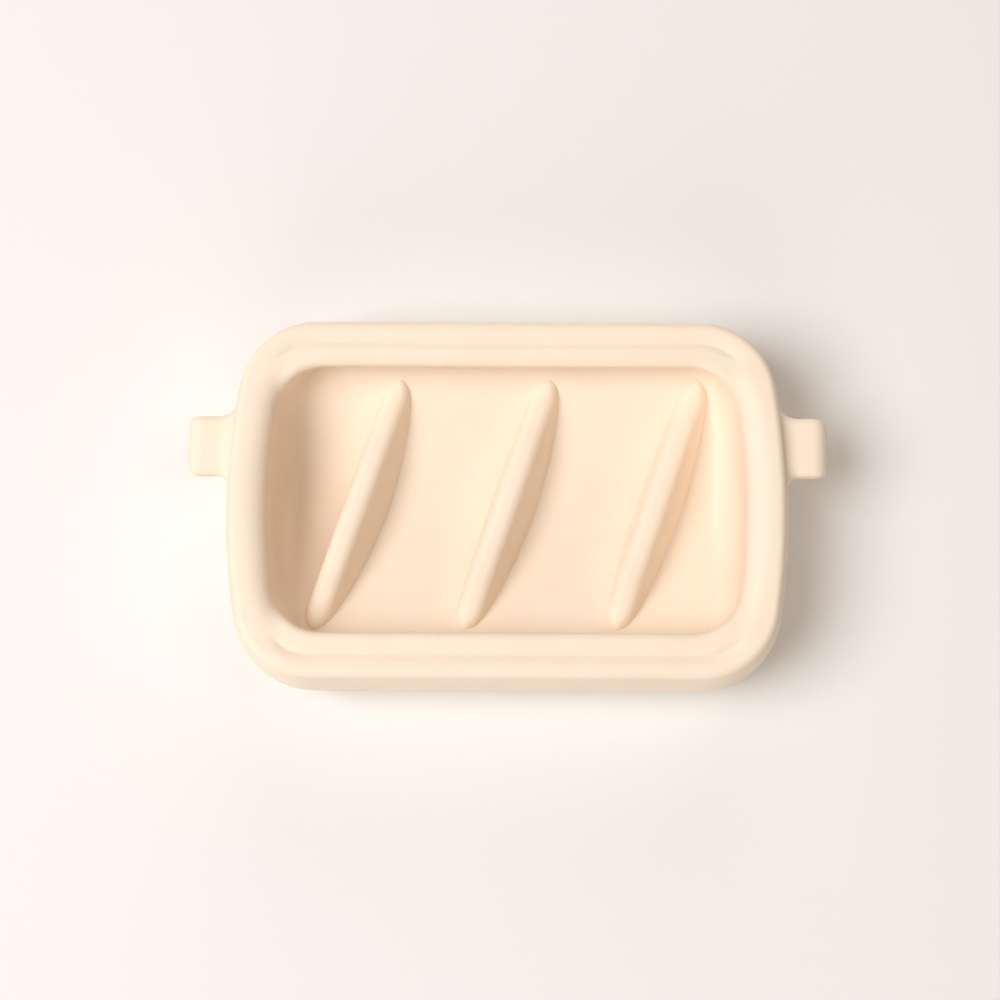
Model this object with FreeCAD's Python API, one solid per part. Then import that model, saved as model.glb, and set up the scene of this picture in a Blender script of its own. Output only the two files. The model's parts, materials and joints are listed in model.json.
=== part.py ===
import FreeCAD, Part
import math
import os

from FreeCAD import Vector

# A silicone mould for one bar of soap, resting on its base.
# Origin: middle of the base.  X runs along the mould, +Y to its rear, +Z up.  Millimetres.

# Whole body.  "Inset" below is always measured inward from the widest line of the outer wall.
HEIGHT = 25.0
BODY_LENGTH = 108.0
BODY_WIDTH = 71.0
CORNER_RADIUS = 16.0
END_BOW_RADIUS = 128.0

# Outer wall: it leans out from the base to its widest line, bellies round, leans in and turns over at a
# tight shoulder into the crest of the rim.
BASE_INSET = 0.9
BASE_EDGE_RADIUS = 1.2
WIDEST_Z = 13.0
BELLY_RADIUS = 20.0
WALL_LEAN_DEG = 13.0
SHOULDER_RADIUS = 1.6

# Rim.  Along the two long sides a groove parts the outer roll from an inner bead with a flat top.
# The bead's nose stands out over the wall below it.  The roll's middle point is given as fractions of
# its run and of its drop.
LONG_RIM_WIDTH = 10.4
END_RIM_WIDTH = 9.0
END_RIM_ROUND = 3.6
GROOVE_INSET = 6.25
GROOVE_DEPTH = 0.9
ROLL_MIDDLE_RUN = 0.65
ROLL_MIDDLE_DROP = 0.4
BEAD_TOP_INSET = 7.4
BEAD_TOP_DROP = 0.3
BEAD_NOSE_RADIUS = 1.4
BEAD_LEDGE_Z = 21.0
BEAD_OVERHANG = 1.9
LONG_WALL_END_X = 34.0

# Cavity: its floor is arched across the width, with a cove at each end.
FLOOR_Z = 6.0
FLOOR_RADIUS = 41.0
INNER_CORNER_RADIUS = 9.5
COVE_START_X = 40.0
COVE_LENGTH = 5.4
COVE_HEIGHT = 8.0

# Three leaning ribs with level, rounded tops: a steep side to the left and a long slope to the right.
# "Offset" is measured to the right from the rib's middle line.
RIB_NAMES = ("left_rib", "middle_rib", "right_rib")
RIB_PITCH = 28.85
RIB_LEAN_DEG = 18.7
RIB_TOP_LENGTH = 51.7
RIB_TOP_WIDTH = 4.1
RIB_TOP_OFFSET = -0.15
RIB_HEIGHT = 8.4
RIB_LEFT_RUN = 1.2
RIB_RIGHT_RUN = 3.5
RIB_END_RUN = 1.2
RIB_TOP_ROUND = 2.0
RIB_REAR_SHIFT = 0.65

# Pull tabs, set towards the rear.  Each turns on a knuckle that sits in the lips of its root.
TAB_END_X = 60.6
TAB_Y = 10.2
TAB_WIDTH = 11.25
TAB_TOP_Z = 22.3
TAB_THICKNESS = 4.4
TAB_CORNER_RADIUS = 1.8
TAB_TIP_TOP_RADIUS = 3.0
TAB_TIP_BOTTOM_RADIUS = 1.2
TAB_ROOT_START_X = 49.0
TAB_FLARE_X = 53.1
TAB_FLARE_RADIUS = 2.2
HINGE_X = 56.7
KNUCKLE_CLEARANCE = 0.1
LIP_FRACTION = 0.45

HALF_LENGTH = BODY_LENGTH / 2
HALF_WIDTH = BODY_WIDTH / 2
HALF_TAB_WIDTH = TAB_WIDTH / 2
BOW_CENTRE_X = HALF_LENGTH - END_BOW_RADIUS
RIB_TOP_Z = FLOOR_Z + RIB_HEIGHT
KNUCKLE_RADIUS = TAB_THICKNESS / 2
HINGE_Z = TAB_TOP_Z - KNUCKLE_RADIUS
WALL_LEAN = math.radians(WALL_LEAN_DEG)
# The lean starts above the belly and ends at the shoulder, which turns over into the crest.
LEAN_START_INSET = BELLY_RADIUS * (1 - math.cos(WALL_LEAN))
LEAN_START_Z = WIDEST_Z + BELLY_RADIUS * math.sin(WALL_LEAN)
LEAN_END_Z = HEIGHT - SHOULDER_RADIUS * (1 - math.sin(WALL_LEAN))
LEAN_END_INSET = LEAN_START_INSET + (LEAN_END_Z - LEAN_START_Z) * math.tan(WALL_LEAN)
CREST_INSET = LEAN_END_INSET + SHOULDER_RADIUS * math.cos(WALL_LEAN)
# Tools that cut right through reach this far past what they cut.
MARGIN = 5.0
TOLERANCE = 0.001

UP = Vector(0, 0, 1)
ALONG = Vector(1, 0, 0)
ACROSS = Vector(0, 1, 0)


def line(start, end):
    """Straight edge between two points."""
    return Part.makeLine(start, end)


def arc(start, middle, end):
    """Circular edge through three points."""
    return Part.Arc(start, middle, end).toShape()


def round_arc(centre, start, end):
    """The shorter arc of a circle from start to end, round centre."""
    spoke = start - centre + end - centre
    return arc(start, centre + spoke.normalize() * (start - centre).Length, end)


def face_of(edges):
    """Flat face inside a closed run of edges."""
    return Part.Face(Part.Wire(edges))


def box(x_range, y_range, z_range):
    """Box between two limits on each axis."""
    sides = [high - low for low, high in (x_range, y_range, z_range)]
    return Part.makeBox(*sides, Vector(x_range[0], y_range[0], z_range[0]))


def fused(shapes):
    """One solid from touching solids, with the seams between them taken out."""
    return shapes[0].multiFuse(shapes[1:]).removeSplitter()


def mirrored(shape, normal):
    """Mirror image through the origin."""
    return shape.mirror(Vector(0, 0, 0), normal)


def arch_z(y):
    """Height of the floor's arch at a distance y from the middle line."""
    return FLOOR_Z + FLOOR_RADIUS - math.sqrt(FLOOR_RADIUS ** 2 - y ** 2)


def section_point(inset, z):
    """Point of the rear wall's cross-section, at x = 0."""
    return Vector(0, HALF_WIDTH - inset, z)


def corner_centre(side_width, end_width, radius):
    """Centre of the front or rear corner arc of an outline that lies inside the widest line."""
    y = HALF_WIDTH - side_width - radius
    reach = END_BOW_RADIUS - end_width - radius
    return Vector(BOW_CENTRE_X + math.sqrt(reach ** 2 - y ** 2), y, 0)


def outer_wall_edges():
    """Edges of the outer wall's cross-section, from the base up to the crest of the rim."""
    foot = section_point(BASE_INSET + BASE_EDGE_RADIUS, 0)
    heel = section_point(BASE_INSET, BASE_EDGE_RADIUS)
    heel_centre = section_point(BASE_INSET + BASE_EDGE_RADIUS, BASE_EDGE_RADIUS)
    widest = section_point(0, WIDEST_Z)
    lean_start = section_point(LEAN_START_INSET, LEAN_START_Z)
    lean_end = section_point(LEAN_END_INSET, LEAN_END_Z)
    crest = section_point(CREST_INSET, HEIGHT)
    belly_centre = section_point(BELLY_RADIUS, WIDEST_Z)
    shoulder_centre = section_point(CREST_INSET, HEIGHT - SHOULDER_RADIUS)
    return [round_arc(heel_centre, foot, heel), line(heel, widest), round_arc(belly_centre, widest, lean_start),
            line(lean_start, lean_end), round_arc(shoulder_centre, lean_end, crest)]


def long_wall_face():
    """Cross-section of a long wall, with the ledge that carries its bead and the hollow below the bead."""
    crest = section_point(CREST_INSET, HEIGHT)
    roll_inset = CREST_INSET + ROLL_MIDDLE_RUN * (GROOVE_INSET - CREST_INSET)
    roll = section_point(roll_inset, HEIGHT - ROLL_MIDDLE_DROP * GROOVE_DEPTH)
    groove = section_point(GROOVE_INSET, HEIGHT - GROOVE_DEPTH)
    hollow_inset = LONG_RIM_WIDTH - BEAD_OVERHANG
    corners = [groove, section_point(GROOVE_INSET, BEAD_LEDGE_Z), section_point(hollow_inset, BEAD_LEDGE_Z),
               section_point(hollow_inset, arch_z(HALF_WIDTH - hollow_inset)),
               section_point(LONG_RIM_WIDTH, arch_z(HALF_WIDTH - LONG_RIM_WIDTH)),
               section_point(LONG_RIM_WIDTH, 0), section_point(BASE_INSET + BASE_EDGE_RADIUS, 0)]
    edges = outer_wall_edges() + [arc(crest, roll, groove)]
    return face_of(edges + [line(start, end) for start, end in zip(corners, corners[1:])])


def bead_face():
    """Cross-section of the inner bead of a long side."""
    top_z = HEIGHT - BEAD_TOP_DROP
    nose_centre = section_point(LONG_RIM_WIDTH - BEAD_NOSE_RADIUS, top_z - BEAD_NOSE_RADIUS)
    groove = section_point(GROOVE_INSET, HEIGHT - GROOVE_DEPTH)
    top_start = section_point(BEAD_TOP_INSET, top_z)
    top_end = nose_centre + UP * BEAD_NOSE_RADIUS
    nose = section_point(LONG_RIM_WIDTH, nose_centre.z)
    throat = section_point(LONG_RIM_WIDTH - BEAD_OVERHANG, BEAD_LEDGE_Z)
    corners = [nose, throat, section_point(GROOVE_INSET, BEAD_LEDGE_Z), groove, top_start, top_end]
    edges = [line(start, end) for start, end in zip(corners, corners[1:])]
    return face_of(edges + [round_arc(nose_centre, top_end, nose)])


def end_wall_face():
    """Cross-section of an end wall before the cavity is cut from it."""
    depth = CORNER_RADIUS - TOLERANCE
    corners = [section_point(CREST_INSET, HEIGHT), section_point(depth, HEIGHT), section_point(depth, 0),
               section_point(BASE_INSET + BASE_EDGE_RADIUS, 0)]
    return face_of(outer_wall_edges() + [line(start, end) for start, end in zip(corners, corners[1:])])


def long_run(face):
    """Straight run of a cross-section between the two end walls, on the rear side."""
    start = face.translated(Vector(-LONG_WALL_END_X, 0, 0))
    return start.extrude(ALONG * 2 * LONG_WALL_END_X)


def turned(face, centre, start_deg, sweep_deg):
    """Cross-section swept round an upright axis, starting turned by start_deg."""
    start = face.copy()
    start.rotate(centre, UP, start_deg)
    return start.revolve(centre, UP, sweep_deg)


def end_ring():
    """Right-hand end of the outer wall and rim: two short straight runs, two corners and the bowed end."""
    centre = corner_centre(0, 0, CORNER_RADIUS)
    bow_deg = math.degrees(math.asin(centre.y / (END_BOW_RADIUS - CORNER_RADIUS)))
    face = end_wall_face()
    straight = face.translated(ALONG * LONG_WALL_END_X).extrude(ALONG * (centre.x - LONG_WALL_END_X))
    corner = turned(face.translated(ALONG * centre.x), centre, 0, bow_deg - 90)
    bow_centre = Vector(BOW_CENTRE_X, 0, 0)
    bow_face = face.translated(Vector(BOW_CENTRE_X, END_BOW_RADIUS - HALF_WIDTH, 0))
    bow = turned(bow_face, bow_centre, bow_deg - 90, -2 * bow_deg)
    sides = [straight, corner, mirrored(straight, ACROSS), mirrored(corner, ACROSS)]
    return fused([bow] + sides)


def cavity_prism(height):
    """Upright prism on the cavity's outline, from the base plane."""
    centre = corner_centre(LONG_RIM_WIDTH, END_RIM_WIDTH, INNER_CORNER_RADIUS)
    side_y = HALF_WIDTH - LONG_RIM_WIDTH
    end_x = HALF_LENGTH - END_RIM_WIDTH
    outward = (centre - Vector(BOW_CENTRE_X, 0, 0)).normalize()
    join = centre + outward * INNER_CORNER_RADIUS
    middle = centre + (outward + ACROSS).normalize() * INNER_CORNER_RADIUS
    side = Vector(centre.x, side_y, 0)
    front = [mirrored(arc(side, middle, join), ACROSS)]
    right = [arc(side, middle, join), arc(join, Vector(end_x, 0, 0), Vector(join.x, -join.y, 0))] + front
    left = [mirrored(edge, ALONG) for edge in right]
    long_sides = [line(Vector(-centre.x, y, 0), Vector(centre.x, y, 0)) for y in (side_y, -side_y)]
    outline = Part.Wire(Part.__sortEdges__(right + left + long_sides))
    return Part.Face(outline).extrude(UP * height)


def above_arch():
    """Everything above the floor's arch, as an extrusion along X."""
    top = HEIGHT + MARGIN
    side = HALF_WIDTH
    side_z = arch_z(side)
    points = [Vector(0, side, side_z), Vector(0, side, top), Vector(0, -side, top), Vector(0, -side, side_z)]
    floor = arc(points[3], Vector(0, 0, FLOOR_Z), points[0])
    face = face_of([line(start, end) for start, end in zip(points, points[1:])] + [floor])
    return face.translated(ALONG * -HALF_LENGTH).extrude(ALONG * BODY_LENGTH)


def above_coves():
    """Everything above the floor's middle line and the coves at its ends, as an extrusion along Y."""
    top = HEIGHT + MARGIN
    cove_z = FLOOR_Z + COVE_HEIGHT
    cove_end = COVE_START_X + COVE_LENGTH
    curve = Part.Ellipse(Vector(COVE_START_X, 0, FLOOR_Z), Vector(cove_end, 0, cove_z),
                         Vector(COVE_START_X, 0, cove_z))
    right_cove = curve.toShape(0, math.pi / 2)
    points = [Vector(cove_end, 0, cove_z), Vector(cove_end, 0, top), Vector(-cove_end, 0, top),
              Vector(-cove_end, 0, cove_z)]
    floor = line(Vector(-COVE_START_X, 0, FLOOR_Z), Vector(COVE_START_X, 0, FLOOR_Z))
    edges = [line(start, end) for start, end in zip(points, points[1:])]
    face = face_of(Part.__sortEdges__(edges + [floor, right_cove, mirrored(right_cove, ALONG)]))
    return face.translated(ACROSS * -HALF_WIDTH).extrude(ACROSS * BODY_WIDTH)


def end_wall(ground, prism):
    """Right-hand end wall: outer ring, cove, and the rim's rounded inner edge."""
    beyond_floor = box((COVE_START_X, HALF_LENGTH), (-HALF_WIDTH, HALF_WIDTH), (0, HEIGHT))
    wall = fused([end_ring().cut(prism), ground.common(beyond_floor)])
    cavity_sides = Part.makeCompound([face for face in prism.Faces if face.BoundBox.ZLength > HEIGHT])
    inner_edges = []
    for edge in wall.Edges:
        middle = edge.valueAt((edge.FirstParameter + edge.LastParameter) / 2)
        on_top = abs(middle.z - HEIGHT) < TOLERANCE
        on_cavity = cavity_sides.distToShape(Part.Vertex(middle))[0] < TOLERANCE
        if on_top and on_cavity and middle.x > LONG_WALL_END_X + TOLERANCE:
            inner_edges.append(edge)
    return wall.makeFillet(END_RIM_ROUND, inner_edges)


def stadium(left, right, length, z):
    """Outline with straight sides at left and right and full-round ends, lying along Y at height z."""
    straight = length / 2 - (right - left) / 2
    middle = (left + right) / 2
    corners = [Vector(x, y, z) for x, y in ((right, -straight), (right, straight), (left, straight),
                                            (left, -straight))]
    rear = arc(corners[1], Vector(middle, length / 2, z), corners[2])
    front = arc(corners[3], Vector(middle, -length / 2, z), corners[0])
    return Part.Wire([line(corners[0], corners[1]), rear, line(corners[2], corners[3]), front])


def rib(x, cavity):
    """Leaning rib that stands on the arched floor."""
    left = RIB_TOP_OFFSET - RIB_TOP_WIDTH / 2
    right = RIB_TOP_OFFSET + RIB_TOP_WIDTH / 2
    low = stadium(left - RIB_LEFT_RUN, right + RIB_RIGHT_RUN, RIB_TOP_LENGTH + 2 * RIB_END_RUN, FLOOR_Z)
    high = stadium(left, right, RIB_TOP_LENGTH, RIB_TOP_Z)
    bar = Part.makeLoft([low, high], True, True)
    top_edges = [edge for edge in bar.Edges if edge.BoundBox.ZMin > RIB_TOP_Z - TOLERANCE]
    bar = bar.makeFillet(RIB_TOP_ROUND, top_edges)
    bar.rotate(Vector(0, 0, 0), UP, -RIB_LEAN_DEG)
    return bar.translated(ALONG * x + ACROSS * RIB_REAR_SHIFT).common(cavity)


def tab_root(outer_wall):
    """Flared stub on the right-hand end wall, ending in two lips round the tab's knuckle."""
    lip_x = HINGE_X - LIP_FRACTION * KNUCKLE_RADIUS
    flare_end = TAB_FLARE_X + TAB_FLARE_RADIUS
    edges = []
    for side in (1, -1):
        inner_y = side * HALF_TAB_WIDTH
        outer_y = side * (HALF_TAB_WIDTH + TAB_FLARE_RADIUS)
        start = Vector(TAB_FLARE_X, outer_y, 0)
        end = Vector(flare_end, inner_y, 0)
        edges.append(line(Vector(TAB_ROOT_START_X, outer_y, 0), start))
        edges.append(round_arc(Vector(flare_end, outer_y, 0), start, end))
        edges.append(line(end, Vector(lip_x, inner_y, 0)))
    for x, y in ((TAB_ROOT_START_X, HALF_TAB_WIDTH + TAB_FLARE_RADIUS), (lip_x, HALF_TAB_WIDTH)):
        edges.append(line(Vector(x, -y, 0), Vector(x, y, 0)))
    plan = face_of(Part.__sortEdges__(edges)).translated(Vector(0, TAB_Y, TAB_TOP_Z - TAB_THICKNESS))
    socket = Part.makeCylinder(KNUCKLE_RADIUS + KNUCKLE_CLEARANCE, TAB_WIDTH + 2 * MARGIN,
                               Vector(HINGE_X, TAB_Y - HALF_TAB_WIDTH - MARGIN, HINGE_Z), ACROSS)
    return plan.extrude(UP * TAB_THICKNESS).cut(socket).cut(outer_wall)


def pull_tab():
    """Right-hand pull tab: a knuckle on the hinge axis, a flat grip and a rounded tip."""
    bottom_z = TAB_TOP_Z - TAB_THICKNESS
    tip_top = Vector(TAB_END_X - TAB_TIP_TOP_RADIUS, 0, TAB_TOP_Z)
    tip_high = Vector(TAB_END_X, 0, TAB_TOP_Z - TAB_TIP_TOP_RADIUS)
    tip_low = Vector(TAB_END_X, 0, bottom_z + TAB_TIP_BOTTOM_RADIUS)
    tip_bottom = Vector(TAB_END_X - TAB_TIP_BOTTOM_RADIUS, 0, bottom_z)
    knuckle_top = Vector(HINGE_X, 0, TAB_TOP_Z)
    knuckle_bottom = Vector(HINGE_X, 0, bottom_z)
    profile = face_of([
        arc(knuckle_bottom, Vector(HINGE_X - KNUCKLE_RADIUS, 0, HINGE_Z), knuckle_top),
        line(knuckle_top, tip_top),
        round_arc(Vector(tip_top.x, 0, tip_high.z), tip_top, tip_high),
        line(tip_high, tip_low),
        round_arc(Vector(tip_bottom.x, 0, tip_low.z), tip_low, tip_bottom),
        line(tip_bottom, knuckle_bottom),
    ])
    grip = profile.translated(ACROSS * (TAB_Y - HALF_TAB_WIDTH)).extrude(ACROSS * TAB_WIDTH)
    plan = box((HINGE_X - MARGIN, TAB_END_X), (TAB_Y - HALF_TAB_WIDTH, TAB_Y + HALF_TAB_WIDTH),
               (0, HEIGHT))
    corners = [edge for edge in plan.Edges
               if edge.BoundBox.XMin > TAB_END_X - TOLERANCE and edge.BoundBox.ZLength > HEIGHT / 2]
    return grip.common(plan.makeFillet(TAB_CORNER_RADIUS, corners))


def build():
    """All nodes by name."""
    prism = cavity_prism(HEIGHT + MARGIN)
    cavity = prism.common(above_arch()).common(above_coves())
    ground = prism.cut(cavity)
    floor = box((-COVE_START_X, COVE_START_X), (-HALF_WIDTH, HALF_WIDTH), (0, HEIGHT)).common(ground)
    right_end = end_wall(ground, prism)
    rear_wall = long_run(long_wall_face())
    rear_bead = long_run(bead_face())
    root = tab_root(right_end)
    tab = pull_tab()
    nodes = {
        "floor": floor,
        "rear_wall": rear_wall,
        "front_wall": mirrored(rear_wall, ACROSS),
        "rear_rim_bead": rear_bead,
        "front_rim_bead": mirrored(rear_bead, ACROSS),
        "right_end_wall": right_end,
        "left_end_wall": mirrored(right_end, ALONG),
        "right_tab_root": root,
        "left_tab_root": mirrored(root, ALONG),
        "right_pull_tab": tab,
        "left_pull_tab": mirrored(tab, ALONG),
    }
    for place, name in enumerate(RIB_NAMES):
        nodes[name] = rib((place - 1) * RIB_PITCH, cavity)
    return nodes


os.makedirs("parts", exist_ok=True)
for node, shape in build().items():
    if not shape.isValid() or len(shape.Solids) != 1:
        raise ValueError(f"{node} is not one valid solid: {len(shape.Solids)} solids")
    shape.Solids[0].exportStep(f"parts/{node}.step")
    print(f"{node}: {shape.Volume:.1f} mm3")
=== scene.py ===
"""Looks of a one-bar silicone soap mould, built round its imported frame. Metres throughout."""

import json
import logging
import math
from collections.abc import Callable
from dataclasses import dataclass, field
from enum import Enum

import bmesh
import bpy
import numpy as np
from mathutils import Matrix, Vector


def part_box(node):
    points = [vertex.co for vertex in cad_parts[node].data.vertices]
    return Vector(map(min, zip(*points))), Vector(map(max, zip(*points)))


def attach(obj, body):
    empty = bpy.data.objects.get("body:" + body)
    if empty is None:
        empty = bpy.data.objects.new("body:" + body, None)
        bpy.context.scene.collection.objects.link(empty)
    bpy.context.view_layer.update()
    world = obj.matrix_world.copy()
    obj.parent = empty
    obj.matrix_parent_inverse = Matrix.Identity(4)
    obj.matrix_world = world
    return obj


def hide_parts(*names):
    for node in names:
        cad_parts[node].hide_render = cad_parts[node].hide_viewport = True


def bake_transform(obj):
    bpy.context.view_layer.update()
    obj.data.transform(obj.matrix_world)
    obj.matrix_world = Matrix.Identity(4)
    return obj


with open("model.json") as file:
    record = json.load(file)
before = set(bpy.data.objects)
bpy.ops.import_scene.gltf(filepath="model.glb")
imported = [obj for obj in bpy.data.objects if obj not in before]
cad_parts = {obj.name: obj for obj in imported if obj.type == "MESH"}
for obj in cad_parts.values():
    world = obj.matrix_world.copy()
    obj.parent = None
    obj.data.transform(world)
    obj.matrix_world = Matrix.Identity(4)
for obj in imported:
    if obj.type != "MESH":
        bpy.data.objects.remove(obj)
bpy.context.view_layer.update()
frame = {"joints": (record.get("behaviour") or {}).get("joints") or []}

MM = 0.001
RIGHT_ANGLE = math.pi / 2
RIB_PITCH = 28.85 * MM

log = logging.getLogger("soap_mould")


class Side(Enum):
    """The two ends of the mould, by the sign of X."""

    LEFT = -1
    RIGHT = 1


class Silicone(Enum):
    """Where a silicone surface lies. Each has a material of its own; all are one casting."""

    BODY = "silicone_body"
    RIB = "silicone_rib"
    TAB = "silicone_tab"


def steps(start: float, end: float, count: int) -> np.ndarray:
    """Evenly spaced values that leave out the start and reach the end.

    Args:
        start: Value that the steps set off from.
        end: Last value.
        count: How many values there are.

    Returns:
        The values in order.
    """
    return np.linspace(start, end, count + 1)[1:]


def smoothstep(value: np.ndarray, low: float, high: float) -> np.ndarray:
    """Smooth rise from 0 at low to 1 at high.

    Args:
        value: Numbers to map.
        low: Where the rise starts.
        high: Where the rise ends.

    Returns:
        Numbers from 0 to 1.
    """
    t = np.clip((value - low) / (high - low), 0.0, 1.0)
    return t * t * (3.0 - 2.0 * t)


def quarter_round(share: np.ndarray) -> np.ndarray:
    """Fall of a quarter circle of radius 1 that starts level, at each share of its run."""
    return 1.0 - np.sqrt(1.0 - share ** 2)


def soft_max(a: np.ndarray, b: np.ndarray, width: float) -> np.ndarray:
    """The larger of two heights, with the valley between them rounded over.

    Args:
        a: First heights.
        b: Second heights.
        width: How far from equal the rounding starts.

    Returns:
        The rounded upper surface.
    """
    h = np.clip(0.5 + 0.5 * (a - b) / width, 0.0, 1.0)
    return b * (1.0 - h) + a * h + width * h * (1.0 - h)


@dataclass
class MeshParts:
    """Vertices and faces gathered for one mesh."""

    points: list[np.ndarray] = field(default_factory=list)
    faces: list[tuple[int, ...]] = field(default_factory=list)
    count: int = 0

    def add_sheet(self, rows: list[np.ndarray]) -> None:
        """Add a closed band of quads over rows of points, whose last column joins the first.

        Args:
            rows: Rows of as many points each, whose last axis holds x, y and z.
        """
        points = np.stack(rows)
        flat = points.reshape(-1, 3)
        numbers = np.arange(self.count, self.count + len(flat)).reshape(points.shape[:-1])
        self.points.append(flat)
        self.count += len(flat)
        numbers = np.concatenate([numbers, numbers[:, :1]], axis=1)
        corners = [numbers[:-1, :-1], numbers[:-1, 1:], numbers[1:, 1:], numbers[1:, :-1]]
        self.faces.extend(map(tuple, np.stack(corners, axis=-1).reshape(-1, 4).tolist()))

    def build(self, name: str) -> bpy.types.Object:
        """Make one closed, smooth-shaded object.

        Args:
            name: Name of the piece.

        Returns:
            The linked object.
        """
        mesh = bpy.data.meshes.new(name)
        mesh.from_pydata(np.concatenate(self.points).tolist(), [], self.faces)
        tidy_mesh(mesh)
        piece = bpy.data.objects.new(name, mesh)
        bpy.context.scene.collection.objects.link(piece)
        return piece


def tidy_mesh(mesh: bpy.types.Mesh, weld: float = 1e-6) -> None:
    """Weld coincident points, drop collapsed faces and turn every face outward.

    Args:
        mesh: Mesh to tidy in place.
        weld: Distance within which points become one.
    """
    work = bmesh.new()
    work.from_mesh(mesh)
    bmesh.ops.remove_doubles(work, verts=work.verts, dist=weld)
    bmesh.ops.dissolve_degenerate(work, edges=work.edges, dist=weld)
    bmesh.ops.recalc_face_normals(work, faces=work.faces)
    for face in work.faces:
        face.smooth = True
    work.to_mesh(mesh)
    work.free()


@dataclass(frozen=True)
class SiliconeFinish:
    """Cast silicone: a matt, faintly translucent skin with a fine mould texture."""

    where: Silicone
    base: tuple[float, float, float] = (0.945, 0.795, 0.65)
    mottle: tuple[float, float, float] = (0.92, 0.765, 0.615)
    mottle_size: float = 9.0 * MM
    mottle_detail: float = 3.0
    mottle_range: tuple[float, float] = (0.35, 0.9)
    roughness: float = 0.52
    roughness_spread: float = 0.08
    haze_size: float = 2.2 * MM
    haze_detail: float = 4.0
    grain_size: float = 0.35 * MM
    grain_detail: float = 2.0
    grain_height: float = 0.02 * MM
    grain_strength: float = 0.35
    translucency: float = 0.12
    scatter: tuple[float, float, float] = (1.0, 0.55, 0.3)
    scatter_depth: float = 1.6 * MM
    specular: float = 0.35
    sheen: float = 0.08
    sheen_roughness: float = 0.6
    refraction: float = 1.41

    def material(self) -> bpy.types.Material:
        """Build the node material.

        Returns:
            A new material named after the surface.
        """
        made = bpy.data.materials.new(self.where.value)
        made.use_nodes = True
        tree = made.node_tree
        shader = tree.nodes["Principled BSDF"]
        self._tint(tree, shader)
        self._haze(tree, shader)
        self._grain(tree, shader)
        shader.inputs["Subsurface Weight"].default_value = self.translucency
        shader.inputs["Subsurface Radius"].default_value = self.scatter
        shader.inputs["Subsurface Scale"].default_value = self.scatter_depth
        shader.inputs["Specular IOR Level"].default_value = self.specular
        shader.inputs["Sheen Weight"].default_value = self.sheen
        shader.inputs["Sheen Roughness"].default_value = self.sheen_roughness
        shader.inputs["IOR"].default_value = self.refraction
        return made

    def _tint(self, tree: bpy.types.NodeTree, shader: bpy.types.Node) -> None:
        """Vary the colour in soft clouds between the base and the mottle."""
        clouds = self._noise(tree, self.mottle_size, self.mottle_detail)
        soft = tree.nodes.new("ShaderNodeMapRange")
        soft.inputs["From Min"].default_value = self.mottle_range[0]
        soft.inputs["From Max"].default_value = self.mottle_range[1]
        tint = tree.nodes.new("ShaderNodeMix")
        tint.data_type = "RGBA"
        tint.inputs["A"].default_value = (*self.base, 1.0)
        tint.inputs["B"].default_value = (*self.mottle, 1.0)
        tree.links.new(clouds.outputs["Fac"], soft.inputs["Value"])
        tree.links.new(soft.outputs["Result"], tint.inputs["Factor"])
        tree.links.new(tint.outputs["Result"], shader.inputs["Base Color"])

    def _haze(self, tree: bpy.types.NodeTree, shader: bpy.types.Node) -> None:
        """Vary the roughness in small patches."""
        patches = self._noise(tree, self.haze_size, self.haze_detail)
        rough = tree.nodes.new("ShaderNodeMapRange")
        rough.inputs["To Min"].default_value = self.roughness - self.roughness_spread
        rough.inputs["To Max"].default_value = self.roughness + self.roughness_spread
        tree.links.new(patches.outputs["Fac"], rough.inputs["Value"])
        tree.links.new(rough.outputs["Result"], shader.inputs["Roughness"])

    def _grain(self, tree: bpy.types.NodeTree, shader: bpy.types.Node) -> None:
        """Raise the fine texture that the mould tool leaves."""
        grain = self._noise(tree, self.grain_size, self.grain_detail)
        bump = tree.nodes.new("ShaderNodeBump")
        bump.inputs["Strength"].default_value = self.grain_strength
        bump.inputs["Distance"].default_value = self.grain_height
        tree.links.new(grain.outputs["Fac"], bump.inputs["Height"])
        tree.links.new(bump.outputs["Normal"], shader.inputs["Normal"])

    def _noise(self, tree: bpy.types.NodeTree, size: float, detail: float) -> bpy.types.Node:
        """Noise in the piece's own space.

        Args:
            tree: Node tree of the material.
            size: About how large its features are.
            detail: How many finer layers are added.

        Returns:
            The noise node.
        """
        place = tree.nodes.new("ShaderNodeTexCoord")
        noise = tree.nodes.new("ShaderNodeTexNoise")
        noise.inputs["Scale"].default_value = 1.0 / size
        noise.inputs["Detail"].default_value = detail
        tree.links.new(place.outputs["Object"], noise.inputs["Vector"])
        return noise


@dataclass(frozen=True)
class TableFinish:
    """Smooth pale table top."""

    colour: tuple[float, float, float] = (0.86, 0.845, 0.83)
    roughness: float = 0.75
    specular: float = 0.1

    def material(self) -> bpy.types.Material:
        """Build the node material of the table top.

        Returns:
            The new material.
        """
        made = bpy.data.materials.new("pale_table")
        made.use_nodes = True
        shader = made.node_tree.nodes["Principled BSDF"]
        shader.inputs["Base Color"].default_value = (*self.colour, 1.0)
        shader.inputs["Roughness"].default_value = self.roughness
        shader.inputs["Specular IOR Level"].default_value = self.specular
        return made


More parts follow.
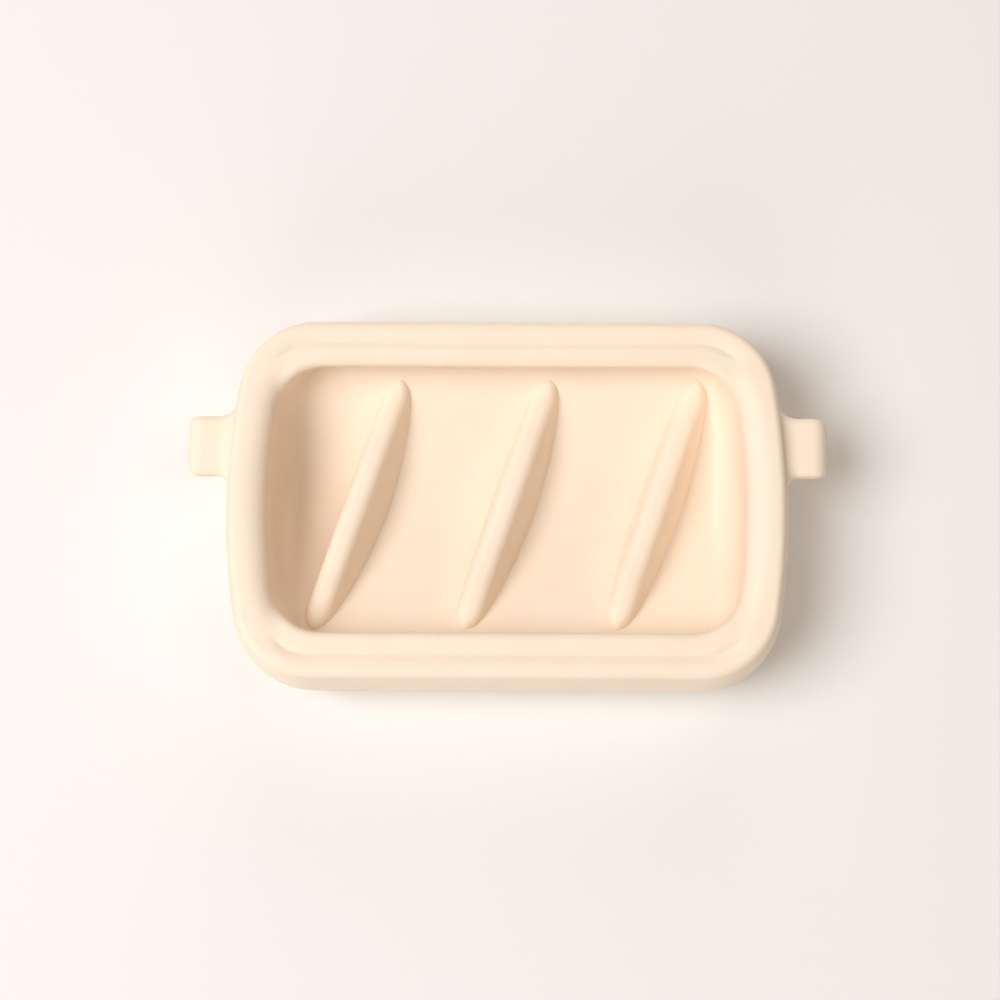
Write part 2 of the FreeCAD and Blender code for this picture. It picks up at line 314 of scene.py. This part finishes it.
@dataclass
class Outline:
    """Rounded oblong with straight long sides and bowed ends, given by its rear right quarter."""

    half_length: float
    half_width: float
    corner_radius: float
    bow_radius: float
    straight_steps: int = 60
    corner_steps: int = 48
    bow_steps: int = 28

    def quarter(self) -> np.ndarray:
        """Rear right quarter of the oblong.

        Returns:
            Points from the middle of the rear side round the corner to the middle of the right end.
        """
        bow_x = self.half_length - self.bow_radius
        centre_y = self.half_width - self.corner_radius
        reach = self.bow_radius - self.corner_radius
        centre_x = bow_x + math.sqrt(reach ** 2 - centre_y ** 2)
        bow_angle = math.asin(centre_y / reach)
        along = np.linspace(0.0, centre_x, self.straight_steps + 1)
        straight = np.stack([along, np.full_like(along, self.half_width)], axis=-1)
        turn = steps(RIGHT_ANGLE, bow_angle, self.corner_steps)
        corner = np.stack([centre_x + self.corner_radius * np.cos(turn),
                           centre_y + self.corner_radius * np.sin(turn)], axis=-1)
        sweep = steps(bow_angle, 0.0, self.bow_steps)
        bow = np.stack([bow_x + self.bow_radius * np.cos(sweep),
                        self.bow_radius * np.sin(sweep)], axis=-1)
        return np.concatenate([straight, corner, bow])

    def around(self, values: np.ndarray, flip: bool = True) -> np.ndarray:
        """Carry values of the rear right quarter all the way round, clockwise from above.

        The loop starts midway round the rear left corner.

        Args:
            values: One value or point for each point of the quarter.
            flip: Whether the values are points, whose signs change from quarter to quarter.

        Returns:
            One value or point for each column of the loop.
        """
        def turned(x_sign: float, y_sign: float) -> np.ndarray:
            """Values of the quarter on the side that the signs give."""
            return values * np.array([x_sign, y_sign]) if flip else values

        loop = np.concatenate([turned(1, 1)[:-1], turned(1, -1)[:0:-1],
                               turned(-1, -1)[:-1], turned(-1, 1)[:0:-1]])
        return np.roll(loop, self.straight_steps + self.corner_steps // 2, axis=0)

    def corner_turn(self) -> np.ndarray:
        """How far round its corner each column is: 0 on the long sides, 1 on the ends."""
        quarter = np.concatenate([np.zeros(self.straight_steps + 1),
                                  steps(0.0, 1.0, self.corner_steps), np.ones(self.bow_steps)])
        return self.around(quarter, flip=False)


@dataclass
class Ring:
    """Rows laid round the tub, one above or inside the other, each with the same columns."""

    outer: np.ndarray
    inner: np.ndarray
    turn: np.ndarray
    rows: list[np.ndarray] = field(default_factory=list)

    def __post_init__(self) -> None:
        """Work out the width of the rim and the way inward in each column."""
        inward = self.inner - self.outer
        self.width = np.linalg.norm(inward, axis=1)
        self.inward = inward / self.width[:, None]

    def plan(self, inset: np.ndarray | float) -> np.ndarray:
        """Points seen from above.

        Args:
            inset: Distance in from the widest line, for each column or for all.

        Returns:
            One x and y for each column.
        """
        return self.outer + self.inward * np.broadcast_to(inset, self.width.shape)[:, None]

    def lay(self, inset: np.ndarray | float, z: np.ndarray | float) -> None:
        """Lay the next row.

        Args:
            inset: Distance in from the widest line, for each column or for all.
            z: Height, for each column or for all.
        """
        heights = np.broadcast_to(z, self.width.shape)[:, None]
        self.rows.append(np.concatenate([self.plan(inset), heights], axis=1))


@dataclass
class Tub:
    """The tub: base, walls, rolled rim with its beads, coves and arched floor, as one skin.

    A fade is a pair of shares of the way round a corner, from the long side to the end: a
    feature of the one side changes into the other's between them.
    """

    corner_radius: float = 16.0 * MM
    bow_radius: float = 128.0 * MM
    base_inset: float = 0.9 * MM
    base_edge: float = 1.2 * MM
    widest_z: float = 13.0 * MM
    belly_radius: float = 20.0 * MM
    wall_lean: float = math.radians(13.0)
    shoulder_radius: float = 1.6 * MM
    end_rim_width: float = 9.0 * MM
    end_rim_drop: float = 3.6 * MM
    end_rim_run: float = 4.8 * MM
    roll_power: float = 2.5
    groove_inset: float = 6.25 * MM
    groove_depth: float = 0.9 * MM
    groove_softness: float = 0.06 * MM
    groove_fade: tuple[float, float] = (0.3, 0.6)
    bead_rise_power: float = 1.5
    bead_top_inset: float = 7.4 * MM
    bead_top_drop: float = 0.3 * MM
    bead_nose_radius: float = 1.4 * MM
    bead_throat_drop: float = 4.0 * MM
    bead_overhang: float = 1.9 * MM
    bead_fade: tuple[float, float] = (0.4, 0.8)
    overhang_fade: tuple[float, float] = (0.2, 0.6)
    floor_z: float = 6.0 * MM
    floor_radius: float = 41.0 * MM
    inner_corner_radius: float = 9.5 * MM
    crease_radius: float = 0.3 * MM
    cove_length: float = 5.2 * MM
    cove_height: float = 8.0 * MM
    cove_fade: tuple[float, float] = (0.05, 0.9)
    spine_share: float = 0.55
    spine_reach: float = 20.0 * MM
    base_rows: int = 7
    heel_rows: int = 9
    lower_wall_rows: int = 8
    upper_wall_rows: int = 16
    shoulder_rows: int = 16
    rim_rows: int = 48
    throat_rows: int = 8
    cavity_wall_rows: int = 14
    cove_rows: int = 18
    fill_rows: int = 70

    def __post_init__(self) -> None:
        """Take the outer size from the frame and work out where wall, shoulder and crest meet."""
        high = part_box("right_end_wall")[1]
        inner_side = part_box("rear_rim_bead")[0]
        self.height = high.z
        self.half_length = high.x
        self.half_width = high.y
        self.long_rim_width = high.y - inner_side.y
        lean = self.wall_lean
        self.lean_inset = self.belly_radius * (1 - math.cos(lean))
        self.lean_z = self.widest_z + self.belly_radius * math.sin(lean)
        self.shoulder_z = self.height - self.shoulder_radius * (1 - math.sin(lean))
        shoulder_inset = self.lean_inset + (self.shoulder_z - self.lean_z) * math.tan(lean)
        self.crest_inset = shoulder_inset + self.shoulder_radius * math.cos(lean)
        self.outer = Outline(self.half_length, self.half_width, self.corner_radius, self.bow_radius)
        self.inner = Outline(self.half_length - self.end_rim_width,
                             self.half_width - self.long_rim_width,
                             self.inner_corner_radius, self.bow_radius - self.end_rim_width)

    def arch(self, y: np.ndarray) -> np.ndarray:
        """Height of the floor at a distance y from the middle line."""
        return self.floor_z + self.floor_radius - np.sqrt(self.floor_radius ** 2 - y ** 2)

    def wall_inset(self, z: np.ndarray) -> np.ndarray:
        """How far in from the widest line the outer wall is, from its base edge to its shoulder.

        Args:
            z: Heights.

        Returns:
            Insets at those heights.
        """
        fall = np.clip((self.widest_z - z) / (self.widest_z - self.base_edge), 0.0, 1.0)
        rise = np.clip(z - self.widest_z, 0.0, self.lean_z - self.widest_z)
        belly = self.belly_radius - np.sqrt(self.belly_radius ** 2 - rise ** 2)
        lean = np.clip(z - self.lean_z, 0.0, None) * math.tan(self.wall_lean)
        return self.base_inset * fall + belly + lean

    def end_surface(self, y: np.ndarray, z: np.ndarray) -> np.ndarray:
        """Outside of an end wall.

        Args:
            y: Distances to the rear of the middle line.
            z: Heights.

        Returns:
            Distances in X from the middle of the mould.
        """
        reach = self.bow_radius - self.wall_inset(z)
        return self.half_length - self.bow_radius + np.sqrt(reach ** 2 - y ** 2)

    def _lay_outside(self, ring: Ring) -> None:
        """Lay the rows of the base, its edge, the wall and the shoulder up to the crest."""
        edge_inset = self.base_inset + self.base_edge
        for share in np.linspace(0.0, 1.0, self.base_rows + 1)[:-1]:
            ring.lay(ring.width + (edge_inset - ring.width) * share, 0.0)
        for angle in np.linspace(0.0, RIGHT_ANGLE, self.heel_rows):
            ring.lay(self.base_inset + self.base_edge * (1.0 - math.sin(angle)),
                     self.base_edge * (1.0 - math.cos(angle)))
        for z in np.concatenate([steps(self.base_edge, self.widest_z, self.lower_wall_rows),
                                 steps(self.widest_z, self.shoulder_z, self.upper_wall_rows)]):
            ring.lay(float(self.wall_inset(z)), z)
        for angle in steps(self.wall_lean, RIGHT_ANGLE, self.shoulder_rows):
            ring.lay(self.crest_inset - self.shoulder_radius * math.cos(angle),
                     self.height - self.shoulder_radius * (1.0 - math.sin(angle)))

    def _lay_rim(self, ring: Ring) -> None:
        """Lay the rows of the rim from its crest to its inner edge."""
        for share in np.sin(steps(0.0, RIGHT_ANGLE, self.rim_rows)):
            inset = self.crest_inset + (ring.width - self.crest_inset) * share
            ring.lay(inset, self.height - self._rim_drop(inset, ring.width, ring.turn))

    def _rim_drop(self, inset: np.ndarray, width: np.ndarray, turn: np.ndarray) -> np.ndarray:
        """Fall of the rim below its crest.

        Args:
            inset: Distance in from the widest line, at or past the crest.
            width: Whole width of the rim in each column.
            turn: How far round its corner each column is.

        Returns:
            Drop below the crest for each column.
        """
        run = np.clip((inset - (width - self.end_rim_run)) / self.end_rim_run, 0.0, 1.0)
        plain = self.end_rim_drop * quarter_round(run)
        roll_run = (inset - self.crest_inset) / (self.groove_inset - self.crest_inset)
        roll = -self.groove_depth * np.abs(roll_run) ** self.roll_power
        climb_run = self.bead_top_inset - self.groove_inset
        climb = np.clip((self.bead_top_inset - inset) / climb_run, 0.0, None)
        climb_drop = (self.groove_depth - self.bead_top_drop) * climb ** self.bead_rise_power
        nose_start = width - self.bead_nose_radius
        fall = np.clip((inset - nose_start) / self.bead_nose_radius, 0.0, 1.0)
        nose = self.bead_nose_radius * quarter_round(fall)
        bead = -self.bead_top_drop - climb_drop - nose
        grooved = -soft_max(roll, bead, self.groove_softness)
        level = self.bead_top_drop * smoothstep(roll_run, 0.0, 2.0) + nose
        keep = 1.0 - smoothstep(turn, *self.groove_fade)
        long_side = grooved * keep + level * (1.0 - keep)
        beadness = 1.0 - smoothstep(turn, *self.bead_fade)
        return long_side * beadness + plain * (1.0 - beadness)

    def _lay_cavity(self, ring: Ring) -> None:
        """Lay the rows under the bead's overhang, down the cavity's wall and round its cove."""
        edge_z = ring.rows[-1][:, 2]
        overhang = self.bead_overhang * (1.0 - smoothstep(ring.turn, *self.overhang_fade))
        nose_drop = self.bead_top_drop + self.bead_nose_radius
        throat = (self.bead_throat_drop - nose_drop) * overhang / self.bead_overhang
        for angle in steps(0.0, RIGHT_ANGLE, self.throat_rows):
            ring.lay(ring.width - overhang * (1.0 - math.cos(angle)),
                     edge_z - throat * math.sin(angle))
        wall_top = edge_z - throat
        wall = ring.width - overhang
        coveness = smoothstep(ring.turn, *self.cove_fade)
        length = self.crease_radius + (self.cove_length - self.crease_radius) * coveness
        height = self.crease_radius + (self.cove_height - self.crease_radius) * coveness
        foot = self.arch(ring.plan(wall)[:, 1]) + height
        for share in steps(0.0, 1.0, self.cavity_wall_rows):
            ring.lay(wall, wall_top + (foot - wall_top) * share)
        for angle in steps(0.0, RIGHT_ANGLE, self.cove_rows):
            inset = wall + length * (1.0 - math.cos(angle))
            ring.lay(inset, self.arch(ring.plan(inset)[:, 1]) + height * (1.0 - math.sin(angle)))

    def _close(self, parts: MeshParts, loop: np.ndarray,
               height: Callable[[np.ndarray], np.ndarray]) -> None:
        """Fill the hole inside a row of the ring with rows that shrink to a spine.

        The spine is a line along the middle. It is drawn in from the ends and stops short of
        them, so that the rows don't fold over each other at the corners.

        Args:
            parts: Mesh under construction.
            loop: The row, as points.
            height: Height as a function of y.
        """
        plan = loop[:, :2]
        spine_x = np.clip(plan[:, 0] * self.spine_share, -self.spine_reach, self.spine_reach)
        spine = np.stack([spine_x, np.zeros_like(spine_x)], axis=-1)
        rows = []
        for share in np.linspace(0.0, 1.0, self.fill_rows):
            row = plan + (spine - plan) * share
            rows.append(np.concatenate([row, height(row[:, 1])[:, None]], axis=1))
        parts.add_sheet(rows)

    def skin(self) -> bpy.types.Object:
        """Build the tub's closed skin.

        Returns:
            The finished object, before its material.
        """
        ring = Ring(self.outer.around(self.outer.quarter()),
                    self.inner.around(self.inner.quarter()), self.outer.corner_turn())
        self._lay_outside(ring)
        self._lay_rim(ring)
        self._lay_cavity(ring)
        parts = MeshParts()
        parts.add_sheet(ring.rows)
        self._close(parts, ring.rows[-1], self.arch)
        self._close(parts, ring.rows[0], np.zeros_like)
        return parts.build("tub_skin")

    def dress(self, material: bpy.types.Material) -> bpy.types.Object:
        """Build the skin, give it its material and seat it on the tub.

        Args:
            material: The tub's finish.

        Returns:
            The finished piece.
        """
        piece = self.skin()
        piece.data.materials.append(material)
        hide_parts("floor", "front_wall", "rear_wall", "left_end_wall", "right_end_wall",
                    "front_rim_bead", "rear_rim_bead")
        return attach(piece, "tub")


@dataclass
class Rib:
    """One leaning rib: rounded crest, steep left flank, long right flank and rounded ends."""

    node: str
    tub: Tub
    x: float
    lean: float = math.radians(18.7)
    crest_offset: float = 0.08 * MM
    crest_flat_half: float = 0.28 * MM
    crest_radius: float = 2.3 * MM
    crest_length: float = 51.7 * MM
    rear_shift: float = 0.65 * MM
    left_foot: float = 3.4 * MM
    right_foot: float = 5.4 * MM
    end_run: float = 1.2 * MM
    end_round: float = 1.5 * MM
    sink: float = 0.5 * MM
    flank_rows: int = 14
    crest_rows: int = 21
    side_points: int = 81
    cap_points: int = 39

    def __post_init__(self) -> None:
        """Take the rib's height from the frame."""
        self.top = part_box(self.node)[1].z
        self.rise = self.top - self.tub.floor_z
        self.straight = self.crest_length / 2 - self.crest_radius * 2

    def _flank(self, depth: np.ndarray, foot: float) -> np.ndarray:
        """One flank: round the crest's shoulder, then down a plane that leaves it smoothly.

        Args:
            depth: Depths below the crest.
            foot: Distance of the flank's foot from the crest's middle line.

        Returns:
            Distance from the crest's middle line at each depth.
        """
        radius = self.crest_radius
        foot = foot - self.crest_flat_half
        reach = math.hypot(foot, self.rise - radius)
        angle = math.atan2(foot, self.rise - radius) + math.acos(radius / reach) - RIGHT_ANGLE
        slope = RIGHT_ANGLE - angle
        touch = radius * (1.0 - math.cos(slope))
        below = radius - np.minimum(depth, touch)
        circle = np.sqrt(np.clip(radius ** 2 - below ** 2, 0.0, None))
        return self.crest_flat_half + circle + np.clip(depth - touch, 0.0, None) / math.tan(slope)

    def _reach(self, depth: float) -> float:
        """Distance from the rib's middle to its tip at a depth below the crest."""
        shoulder = 1.0 - min(depth / self.end_round, 1.0)
        rounding = self.end_round * (1.0 - math.sqrt(1.0 - shoulder ** 2))
        return self.crest_length / 2 + self.end_run * depth / self.rise - rounding

    def _row(self, half: float, middle: float, reach: float, z: float) -> np.ndarray:
        """One level row round the rib: two straight sides with a round cap at each end.

        Args:
            half: Half of the rib's width there.
            middle: How far the row's middle lies to the right of the rib's.
            reach: Distance from the middle to the tip.
            z: Height of the row.

        Returns:
            Points of the row.
        """
        along = np.linspace(-self.straight, self.straight, self.side_points)
        side = np.stack([np.full_like(along, half), along], axis=-1)
        turn = np.linspace(0.0, math.pi, self.cap_points + 2)
        cap = np.stack([half * np.cos(turn),
                        self.straight + (reach - self.straight) * np.sin(turn)], axis=-1)[1:-1]
        loop = np.concatenate([side, cap, -side, -cap]) + np.array([middle, 0.0])
        across, along = loop[:, 0], loop[:, 1]
        x = self.x + across * math.cos(self.lean) + along * math.sin(self.lean)
        y = self.rear_shift - across * math.sin(self.lean) + along * math.cos(self.lean)
        return np.stack([x, y, np.full_like(x, z)], axis=-1)

    def skin(self) -> bpy.types.Object:
        """Build the rib as a closed solid whose flat foot lies inside the floor.

        Returns:
            The finished object, before its material.
        """
        lowest = self.rise + self.sink
        crest = self.crest_radius * (1.0 - np.cos(steps(RIGHT_ANGLE, 0.0, self.crest_rows)))
        depths = np.concatenate([np.linspace(lowest, self.crest_radius, self.flank_rows), crest])
        left = self._flank(depths, self.left_foot + self.crest_offset)
        right = self._flank(depths, self.right_foot - self.crest_offset)
        rows = [self._row(0.0, self.crest_offset, self.straight, self.top - lowest)]
        for depth, left_side, right_side in zip(depths, left, right):
            rows.append(self._row((left_side + right_side) / 2,
                                  self.crest_offset + (right_side - left_side) / 2,
                                  self._reach(depth), self.top - depth))
        rows.append(self._row(0.0, self.crest_offset, self._reach(0.0), self.top))
        parts = MeshParts()
        parts.add_sheet(rows)
        return parts.build(self.node + "_skin")

    def dress(self, material: bpy.types.Material) -> bpy.types.Object:
        """Build the rib, give it its material and seat it on the tub.

        Args:
            material: The rib's finish.

        Returns:
            The finished piece.
        """
        piece = self.skin()
        piece.data.materials.append(material)
        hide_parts(self.node)
        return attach(piece, "tub")


@dataclass
class PullTab:
    """One pull tab: a flared root that grows out of the end wall, a grip and a drooping tip."""

    side: Side
    tub: Tub
    flare_side: float = 2.4 * MM
    flare_top: float = 1.3 * MM
    edge_round: float = 1.3 * MM
    tip_length: float = 3.0 * MM
    tip_corner: float = 1.9 * MM
    tip_corner_power: float = 1.3
    tip_drop: float = 2.8 * MM
    tip_lift: float = 1.2 * MM
    neck_half: float = 1.5 * MM
    sink: float = 1.0 * MM
    flare_sink: float = 0.6 * MM
    flare_overlap: float = 0.02 * MM
    inner_shares: tuple[float, ...] = (0.0, 0.35, 0.7, 1.0)
    tip_shares: tuple[float, ...] = (0.8, 0.55, 0.3, 0.0)
    corner_points: int = 14
    wide_points: int = 20
    thick_points: int = 4
    flare_rows: int = 25
    grip_rows: int = 14
    tip_rows: int = 24

    def __post_init__(self) -> None:
        """Take the tab's place and size from the frame."""
        name = self.side.name.lower()
        self.node = f"{name}_pull_tab"
        self.root_node = f"{name}_tab_root"
        self.body = f"{name}_tab"
        low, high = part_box(self.node)
        self.end_x = max(abs(low.x), abs(high.x))
        self.centre_y = (low.y + high.y) / 2
        self.half_width = (high.y - low.y) / 2
        self.centre_z = (low.z + high.z) / 2
        self.half_height = (high.z - low.z) / 2
        joint = next(j for j in frame["joints"] if j["child"] == self.body)
        self.neck_x = abs(joint["pos_m"][0])

    def _section(self) -> tuple[np.ndarray, np.ndarray]:
        """Rounded oblong of the grip, seen from its end.

        Returns:
            Points as (y, z) offsets from the tab's middle line, and the way outward at each.
        """
        flat_y = self.half_width - self.edge_round
        flat_z = self.half_height - self.edge_round
        middles = [np.array([y_sign * flat_y, z_sign * flat_z])
                   for y_sign, z_sign in ((1, 1), (-1, 1), (-1, -1), (1, -1))]
        points, outward = [], []
        for turn, middle in enumerate(middles):
            start = turn * RIGHT_ANGLE
            for angle in np.linspace(start, start + RIGHT_ANGLE, self.corner_points):
                direction = np.array([math.cos(angle), math.sin(angle)])
                points.append(middle + self.edge_round * direction)
                outward.append(direction)
            here = points[-1]
            following = middles[(turn + 1) % len(middles)] + self.edge_round * direction
            count = self.wide_points if turn % 2 == 0 else self.thick_points
            for share in np.linspace(0.0, 1.0, count + 2)[1:-1]:
                points.append(here + (following - here) * share)
                outward.append(direction)
        return np.array(points), np.array(outward)

    def _wall_x(self, offset: np.ndarray) -> np.ndarray:
        """Outside of the end wall where a row of the tab meets it."""
        return self.tub.end_surface(self.centre_y + offset[:, 0], self.centre_z + offset[:, 1])

    def _row(self, offset: np.ndarray, x: np.ndarray | float) -> np.ndarray:
        """One row round the tab.

        Args:
            offset: (y, z) offsets from the tab's middle line.
            x: Distance from the middle of the mould, for each point or for all.

        Returns:
            Points of the row, on the tab's side of the mould.
        """
        y = self.centre_y + offset[:, 0]
        z = self.centre_z + offset[:, 1]
        return np.stack([self.side.value * np.broadcast_to(x, y.shape), y, z], axis=-1)

    def _root(self, section: np.ndarray, outward: np.ndarray, end: float) -> list[np.ndarray]:
        """Rows from inside the end wall out along the flare.

        Args:
            section: Points round the grip.
            outward: The way outward at each point.
            end: Where the flare ends and the grip begins.

        Returns:
            The rows, from the inside out.
        """
        flare = outward * np.array([self.flare_side, self.flare_top])
        inside = self._wall_x(section).min() - self.sink
        rows = [self._row(section * share, inside) for share in self.inner_shares]
        rows.append(self._row(section + flare, self._wall_x(section + flare) - self.flare_sink))
        for angle in np.linspace(0.0, RIGHT_ANGLE, self.flare_rows):
            offset = section + flare * (1.0 - math.sin(angle))
            surface = self._wall_x(offset) - self.flare_overlap
            rows.append(self._row(offset, surface + (end - surface) * (1.0 - math.cos(angle))))
        return rows

    def _tip(self, section: np.ndarray) -> list[np.ndarray]:
        """Rows of the drooping tip and of the flat that closes it.

        Args:
            section: Points round the grip.

        Returns:
            The rows, from the grip outward.
        """
        rows = []
        for angle in steps(0.0, RIGHT_ANGLE, self.tip_rows):
            bend = 1.0 - math.cos(angle)
            narrow = 1.0 - self.tip_corner * bend ** self.tip_corner_power / self.half_width
            top = self.half_height - self.tip_drop * bend
            bottom = -self.half_height + self.tip_lift * bend
            centre = np.array([0.0, (top + bottom) / 2])
            scale = np.array([narrow, (top - bottom) / (2 * self.half_height)])
            offset = centre + section * scale
            x = self.end_x - self.tip_length + self.tip_length * math.sin(angle)
            rows.append(self._row(offset, x))
        rows += [self._row(centre + (offset - centre) * share, self.end_x)
                 for share in self.tip_shares]
        return rows

    def skin(self) -> bpy.types.Object:
        """Build the tab as a closed solid that starts inside the end wall.

        Returns:
            The finished object, before its material.
        """
        section, outward = self._section()
        flare_end = float(self._wall_x(section * 0.0)[0]) + self.flare_side
        rows = self._root(section, outward, flare_end)
        rows += [self._row(section, x)
                 for x in steps(flare_end, self.end_x - self.tip_length, self.grip_rows)]
        rows += self._tip(section)
        parts = MeshParts()
        parts.add_sheet(rows)
        return parts.build(self.side.name.lower() + "_tab_skin")

    def dress(self, material: bpy.types.Material) -> bpy.types.Object:
        """Build the tab, give it its material and bake its place into its mesh.

        Args:
            material: The tab's finish.

        Returns:
            The finished piece.
        """
        piece = self.skin()
        piece.data.materials.append(material)
        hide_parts(self.node, self.root_node)
        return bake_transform(piece)


@dataclass(frozen=True)
class Lamp:
    """One soft round lamp that faces the mould; its power is in watts."""

    name: str
    place: tuple[float, float, float]
    diameter: float
    power: float
    colour: tuple[float, float, float]

    def hang(self) -> None:
        """Hang the lamp in its place."""
        light = bpy.data.lights.new(self.name, "AREA")
        light.shape = "DISK"
        light.size = self.diameter
        light.energy = self.power
        light.color = self.colour
        lamp = bpy.data.objects.new(self.name, light)
        lamp.location = self.place
        lamp.rotation_euler = (-Vector(self.place)).to_track_quat("-Z", "Y").to_euler()
        bpy.context.scene.collection.objects.link(lamp)


@dataclass
class Studio:
    """Pale table, a big key lamp at the left, weak fill lamps, and a camera almost overhead."""

    rim_z: float
    camera_distance: float = 316.0 * MM
    camera_tilt: float = math.radians(8.0)
    camera_roll: float = math.radians(0.25)
    focal_length: float = 61.2
    nearest: float = 10.0 * MM
    aim_x: float = -1.43 * MM
    aim_y: float = -0.5 * MM
    table_size: float = 3.0
    room_colour: tuple[float, float, float] = (1.0, 0.82, 0.66)
    room_strength: float = 0.18
    lamps: tuple[Lamp, ...] = (
        Lamp("key_lamp", (-0.65, -0.08, 1.00), 0.75, 11.6, (0.965, 0.985, 1.0)),
        Lamp("top_lamp", (0.45, 0.05, 1.10), 0.60, 1.9, (1.0, 0.90, 0.80)),
        Lamp("front_lamp", (-0.15, -1.10, 0.52), 0.80, 3.7, (1.0, 0.95, 0.89)),
        Lamp("rear_lamp", (0.10, 1.10, 0.52), 0.80, 2.8, (1.0, 0.95, 0.89)),
    )

    def table(self) -> None:
        """Lay the table top that the mould stands on."""
        half = self.table_size / 2
        corners = [(-half, -half, 0), (half, -half, 0), (half, half, 0), (-half, half, 0)]
        mesh = bpy.data.meshes.new("table_top")
        mesh.from_pydata(corners, [], [(0, 1, 2, 3)])
        mesh.materials.append(TableFinish().material())
        table = bpy.data.objects.new("table_top", mesh)
        bpy.context.scene.collection.objects.link(table)

    def lights(self) -> None:
        """Hang the lamps in a dim warm room."""
        for lamp in self.lamps:
            lamp.hang()
        world = bpy.data.worlds.new("room")
        world.use_nodes = True
        room = world.node_tree.nodes["Background"]
        room.inputs["Color"].default_value = (*self.room_colour, 1.0)
        room.inputs["Strength"].default_value = self.room_strength
        bpy.context.scene.world = world
        bpy.context.scene.view_settings.view_transform = "Standard"

    def camera(self) -> None:
        """Set the camera over the mould, tilted a little from the front."""
        aim = Vector((self.aim_x, self.aim_y, self.rim_z))
        away = Vector((0.0, -math.sin(self.camera_tilt), math.cos(self.camera_tilt)))
        lens = bpy.data.cameras.new("camera")
        lens.lens = self.focal_length
        lens.clip_start = self.nearest
        camera = bpy.data.objects.new("camera", lens)
        camera.location = aim + away * self.camera_distance
        roll = Matrix.Rotation(self.camera_roll, 3, "Z")
        camera.rotation_euler = (Matrix.Rotation(self.camera_tilt, 3, "X") @ roll).to_euler()
        bpy.context.scene.collection.objects.link(camera)
        bpy.context.scene.camera = camera


def main() -> None:
    """Build every piece of the mould, then the studio round it."""
    logging.basicConfig(level=logging.INFO, format="%(message)s")
    finishes = {where: SiliconeFinish(where).material() for where in Silicone}
    tub = Tub()
    pieces = [tub.dress(finishes[Silicone.BODY])]
    pieces += [Rib(node, tub, place * RIB_PITCH).dress(finishes[Silicone.RIB])
               for place, node in ((-1, "left_rib"), (0, "middle_rib"), (1, "right_rib"))]
    pieces += [PullTab(side, tub).dress(finishes[Silicone.TAB]) for side in Side]
    for piece in pieces:
        log.info("%s: %d faces", piece.name, len(piece.data.polygons))
    studio = Studio(rim_z=tub.height)
    studio.table()
    studio.lights()
    studio.camera()


if __name__ == "__main__":
    main()
